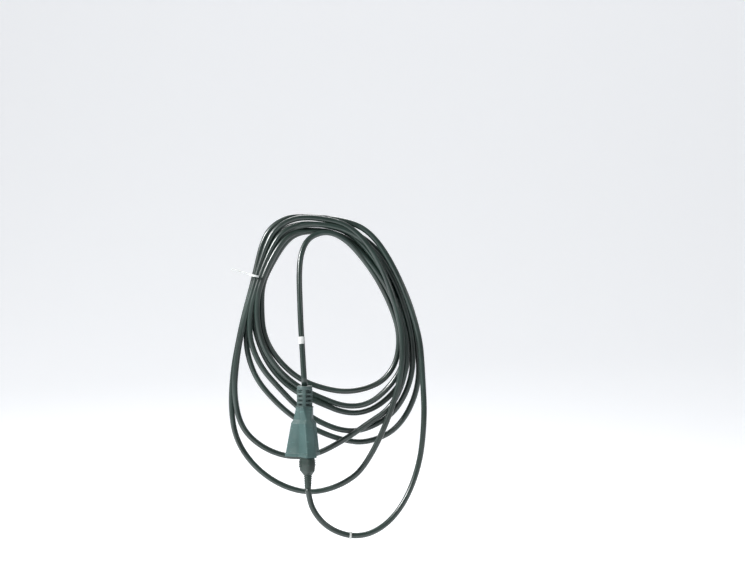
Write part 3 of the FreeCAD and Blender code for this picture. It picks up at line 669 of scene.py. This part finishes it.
RELIEF_FINISH = moulded_finish("relief_vinyl", (0.034, 0.064, 0.060, 1), (0.062, 0.100, 0.094, 1),
                               (0.18, 0.21, 0.19, 1))
relief_at = BLOCK_AT + Vector((0, 0, NECK_TOP * MM))
collar_low = RELIEF_HEIGHT - RELIEF_COLLAR
collar_r = RELIEF_TOP_R + RELIEF_COLLAR_OUT
row_pitch = collar_low / RELIEF_ROWS
rung_thick = row_pitch - RELIEF_SLOT
relief_parts = [
    turned("core", [(CORE_INNER, 0), (RELIEF_CORE_R, 0), (RELIEF_CORE_R, collar_low + OVERLAP),
                    (CORE_INNER, collar_low + OVERLAP)], relief_at, 0.4),
    turned("collar", [(COLLAR_INNER, collar_low), (collar_r, collar_low), (collar_r, RELIEF_HEIGHT),
                      (COLLAR_INNER, RELIEF_HEIGHT)], relief_at, 1.1),
    turned("foot", [(CORE_INNER, 0), (RELIEF_BASE_R, 0), (RELIEF_BASE_R, rung_thick / 2),
                    (CORE_INNER, rung_thick / 2)], relief_at, 0.5),
    ring_rows("rungs", RELIEF_ROWS - 1, RELIEF_BASE_R - 0.25, RELIEF_TOP_R + 0.25, row_pitch,
              rung_thick, RELIEF_CORE_R - OVERLAP, relief_at + Vector((0, 0, row_pitch * MM)),
              RELIEF_FINISH),
]
web_depth = RELIEF_BASE_R - RELIEF_CORE_R + 0.6
web_middle = RELIEF_CORE_R - 0.8 + web_depth / 2
for x, y in ((0, -1), (1, 0), (0, 1), (-1, 0)):
    wide, deep = (RELIEF_WEB, web_depth) if x == 0 else (web_depth, RELIEF_WEB)
    web_at = (x * web_middle, y * web_middle)
    relief_parts.append(upright_bar("web", web_at, wide, deep, 0.2, collar_low + OVERLAP, relief_at))
block_relief = joined("block_sleeve", relief_parts, RELIEF_FINISH)
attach(block_relief, "cord_and_block")
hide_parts("block_strain_relief")


# ---- Outlet face and the inside of the block -----------------------------------------------------
# A stiff dark plate with three grounded outlets closes the base. Above it a moulded carrier holds
# brass contacts, joined by stamped bus bars and crimped to the cord's three wires.

def node_finish(name, material):
    """Give a CAD piece its material."""
    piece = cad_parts[name]
    if not piece.material_slots:
        piece.data.materials.append(material)
    for slot in piece.material_slots:
        slot.material = material


def plastic_finish(name, colour, streak, roughness):
    """A stiff moulded plastic with faint flow marks and a fine grain."""
    finish = Finish(name, Specular_IOR_Level=0.5)
    place = finish.place()
    flow = finish.noise(place, 1, 4, (40, 40, 160))
    finish.drives("Base Color", finish.mixed(finish.rise(flow, 0.35, 0.7), colour, streak))
    finish.drives("Roughness", roughness + 0.14 * flow)
    finish.relief(finish.noise(place, 1800, 2), 0.0001, 0.35)
    return finish.material


def metal_finish(name, colour, tarnish, roughness):
    """Stamped metal: brushed, a little tarnished."""
    finish = Finish(name, Metallic=1.0)
    place = finish.place()
    brushed = finish.noise(place, 1, 3, (2400, 2400, 140))
    stain = finish.rise(finish.noise(place, 130, 5), 0.45, 0.72)
    finish.drives("Base Color", finish.mixed(stain * 0.7, colour, tarnish))
    finish.drives("Roughness", roughness + 0.12 * brushed + 0.25 * stain)
    finish.relief(brushed, 0.00005, 0.4)
    return finish.material


FACE_FINISH = plastic_finish("face_plastic", (0.018, 0.030, 0.028, 1), (0.035, 0.052, 0.048, 1), 0.32)
INNER_FINISH = plastic_finish("inner_plastic", (0.030, 0.030, 0.032, 1), (0.052, 0.052, 0.054, 1), 0.4)
BRASS_FINISH = metal_finish("brass", (0.78, 0.57, 0.25, 1), (0.36, 0.23, 0.10, 1), 0.24)
TIN_FINISH = metal_finish("tinned_copper", (0.72, 0.71, 0.68, 1), (0.38, 0.36, 0.33, 1), 0.28)

node_finish("outlet_face", FACE_FINISH)
for name in ("contact_carrier", "bus_spacers", "plug_insert"):
    node_finish(name, INNER_FINISH)
for name in ("hot_contacts", "neutral_contacts", "ground_contacts", "hot_bus", "neutral_bus",
             "ground_bus", "hot_blade", "neutral_blade", "ground_pin"):
    node_finish(name, BRASS_FINISH)
for name, dark, light in (("hot", (0.012, 0.012, 0.013, 1), (0.03, 0.03, 0.031, 1)),
                          ("neutral", (0.62, 0.61, 0.57, 1), (0.74, 0.73, 0.69, 1)),
                          ("ground", (0.012, 0.10, 0.028, 1), (0.022, 0.15, 0.045, 1))):
    wire_finish = plastic_finish(name + "_wire_vinyl", dark, light, 0.34)
    for end in ("block_", "plug_"):
        node_finish(end + name + "_wire", wire_finish)
        node_finish(end + name + "_crimp", TIN_FINISH)
for name in ("block_cord_end", "plug_cord_end"):
    node_finish(name, moulded_finish(name + "_jacket", (0.013, 0.024, 0.018, 1), (0.024, 0.041, 0.034, 1),
                                     (0.15, 0.155, 0.13, 1)))


# ---- Plug ----------------------------------------------------------------------------------------
# A grounded plug with a moulded vinyl body: a flat face, bulging sides with finger ridges, and a
# taper into a ringed strain relief. Its blades are in the block's front outlet.

PLUG_FACE = -0.3
PLUG_LENGTH = 20.0
PLUG_TAPER = 7.0
PLUG_WALL = 2.2             # width of the flat edge of its face
PLUG_BIG = (11.2, 10.2)     # the round back: radius, and its middle's distance from the block's axis
PLUG_NOSE = (7.4, 21.1)
PLUG_BULGE = 0.8
PLUG_CORD_AT = 13.5
PLUG_END_R = 6.5
PLUG_END_OVAL = 0.3         # how far out of round the end at the cord is
PLUG_RELIEF = 20.0
PLUG_RELIEF_END_R = 5.3
PLUG_RINGS = 5
RIDGES = 4
RIDGE_PITCH = 2.6
RIDGE_LENGTH = 9.0
RIDGE_WIDTH = 1.3
RIDGE_HEIGHT = 0.45
RIDGE_ROOT = 1.2            # how deep a ridge runs into the body
RIDGE_SLOPE = 0.8           # how much shorter its top is, at each end
RIDGE_NARROWING = 0.12


def plug_ring(big_r, big_at, nose_r, nose_at):
    """The plug's outline at one height: a round back, a narrower front and straight sides."""
    lobe = LOBE_ANGLES[0]
    touch = math.degrees(math.acos((big_r - nose_r) / (nose_at - big_at)))
    big = polar(big_at, lobe)
    nose = polar(nose_at, lobe)
    ring = arc_points(big, big_r, lobe + touch, lobe + 360 - touch, 28)
    ring += [ring[-1] + (nose + polar(nose_r, lobe - touch) - ring[-1]) * i / 4 for i in range(1, 4)]
    ring += arc_points(nose, nose_r, lobe - touch, lobe + touch, 16)
    start = ring[-1]
    ring += [start + (ring[0] - start) * i / 4 for i in range(1, 4)]
    return ring


def plug_rings():
    """The plug body's rings, from the middle of its face round its edge and down to the relief."""
    (big_r, big_at), (nose_r, nose_at) = PLUG_BIG, PLUG_NOSE
    low = PLUG_FACE - PLUG_LENGTH
    end = low - PLUG_TAPER
    end_back = PLUG_CORD_AT - PLUG_END_OVAL
    end_front = PLUG_CORD_AT + PLUG_END_OVAL
    full = [(big_r - PLUG_WALL, big_at, nose_r - PLUG_WALL, nose_at, PLUG_FACE - 1.0),
            (big_r - PLUG_WALL, big_at, nose_r - PLUG_WALL, nose_at, PLUG_FACE),
            (big_r, big_at, nose_r, nose_at, PLUG_FACE),
            (big_r + PLUG_BULGE, big_at, nose_r + PLUG_BULGE, nose_at, PLUG_FACE - PLUG_LENGTH / 2),
            (big_r, big_at, nose_r, nose_at, low),
            (PLUG_END_R, end_back, PLUG_END_R - 0.2, end_front, end),
            (CORE_INNER, end_back, CORE_INNER - 0.2, end_front, end)]
    return [(plug_ring(*row[:4]), row[4]) for row in softened([Vector(row) for row in full], 1.6, 5)]


def finger_ridges():
    """Short rounded bars across the plug's two broad sides, to grip it by."""
    lobe = LOBE_ANGLES[0]
    bars = []
    for side in (-1, 1):
        out = side * (PLUG_BIG[0] + PLUG_BULGE)
        for row in range(RIDGES):
            z = PLUG_FACE - PLUG_LENGTH / 2 + (row - (RIDGES - 1) / 2) * RIDGE_PITCH
            back = PLUG_BIG[1] - RIDGE_LENGTH / 2
            front = PLUG_BIG[1] + RIDGE_LENGTH / 2
            corners = [(back, out - side * RIDGE_ROOT), (back + RIDGE_SLOPE, out + side * RIDGE_HEIGHT),
                       (front - RIDGE_SLOPE, out + side * RIDGE_HEIGHT), (front, out - side * RIDGE_ROOT)]
            flat = [polar(x, lobe) + polar(y, lobe + 90) for x, y in corners]
            ends = [p + (sum(flat, Vector((0, 0))) / 4 - p) * RIDGE_NARROWING for p in flat]
            rings = [(ends, z - RIDGE_WIDTH / 2), (flat, z - RIDGE_WIDTH / 4),
                     (flat, z + RIDGE_WIDTH / 4), (ends, z + RIDGE_WIDTH / 2)]
            bars.append(lofted("ridge", rings, BLOCK_AT))
    return bars


plug_shell = lofted("shell", plug_rings(), BLOCK_AT)
PLUG_FINISH = moulded_finish("plug_vinyl", (0.005, 0.015, 0.011, 1), (0.011, 0.028, 0.022, 1),
                             (0.041, 0.066, 0.054, 1))
plug_body = joined("plug_shell", [plug_shell, *finger_ridges()], PLUG_FINISH)
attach(plug_body, "plug")
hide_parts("plug_body")

cord_axis = polar(PLUG_CORD_AT, LOBE_ANGLES[0]) * MM
plug_relief_z = (PLUG_FACE - PLUG_LENGTH - PLUG_TAPER) * MM
plug_relief_at = BLOCK_AT + Vector((cord_axis.x, cord_axis.y, plug_relief_z))
ring_pitch = (PLUG_RELIEF - 3) / PLUG_RINGS
plug_relief = joined("plug_sleeve", [
    turned("sleeve", [(COLLAR_INNER, 0.2), (PLUG_END_R - 1.0, 0.2),
                      (PLUG_RELIEF_END_R - 0.35, -PLUG_RELIEF), (COLLAR_INNER, -PLUG_RELIEF)],
           plug_relief_at, 0.5),
    ring_rows("relief_rings", PLUG_RINGS, PLUG_END_R - 0.3, PLUG_RELIEF_END_R + 0.05, -ring_pitch,
              ring_pitch * 0.55, 4.7, plug_relief_at + Vector((0, 0, -2.0 * MM)), PLUG_FINISH),
], PLUG_FINISH)
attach(plug_relief, "plug")
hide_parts("plug_strain_relief")


# ---- Ties and the blank wrap ---------------------------------------------------------------------
# Thin white plastic: a tie with a long tail on the coil's left side, one on the low loop, which
# moves with the cord as the plug is pulled, and a plain wrap on the lead.

TIE_RADIUS = 5.9            # the outside of the low loop's tie
TIE_INNER = 4.3             # inside the cord's jacket
TIE_WIDTH = 3.0


def tie_finish():
    """White plastic, a little yellowed and grubby."""
    finish = Finish("white_tie_plastic", Specular_IOR_Level=0.5)
    place = finish.place()
    grime = finish.rise(finish.noise(place, 160, 5), 0.45, 0.75)
    finish.drives("Base Color", finish.mixed(grime * 0.7, (0.62, 0.64, 0.63, 1), (0.26, 0.27, 0.24, 1)))
    finish.drives("Roughness", 0.38 + 0.25 * grime)
    finish.relief(finish.noise(place, 1500, 2), 0.0001, 0.4)
    return finish.material


def band_on(name, path, near):
    """A rounded band round a cord, square to its path where that is nearest to a point."""
    number = min(range(1, len(path) - 1), key=lambda i: (path[i] - near).length)
    ahead = path[number + 1] - path[number - 1]
    half = TIE_WIDTH / 2
    corners = [(TIE_INNER, -half), (TIE_RADIUS, -half), (TIE_RADIUS, half), (TIE_INNER, half)]
    band = turned(name, corners, Vector((0, 0, 0)), 0.5)
    turn = ahead.to_track_quat("Z", "Y").to_matrix().to_4x4()
    band.data.transform(Matrix.Translation(path[number]) @ turn)
    return band


TIE_FINISH = tie_finish()
for name in ("coil_tie", "lead_wrap"):
    node_finish(name, TIE_FINISH)

low_tie_corners = [Vector(corner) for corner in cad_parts["loop_tie"].bound_box]
low_tie_at = sum(low_tie_corners, Vector((0, 0, 0))) / len(low_tie_corners)
low_tie = band_on("low_tie", loop_path, low_tie_at)
low_tie.data.materials.append(TIE_FINISH)
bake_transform(low_tie)
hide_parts("loop_tie")
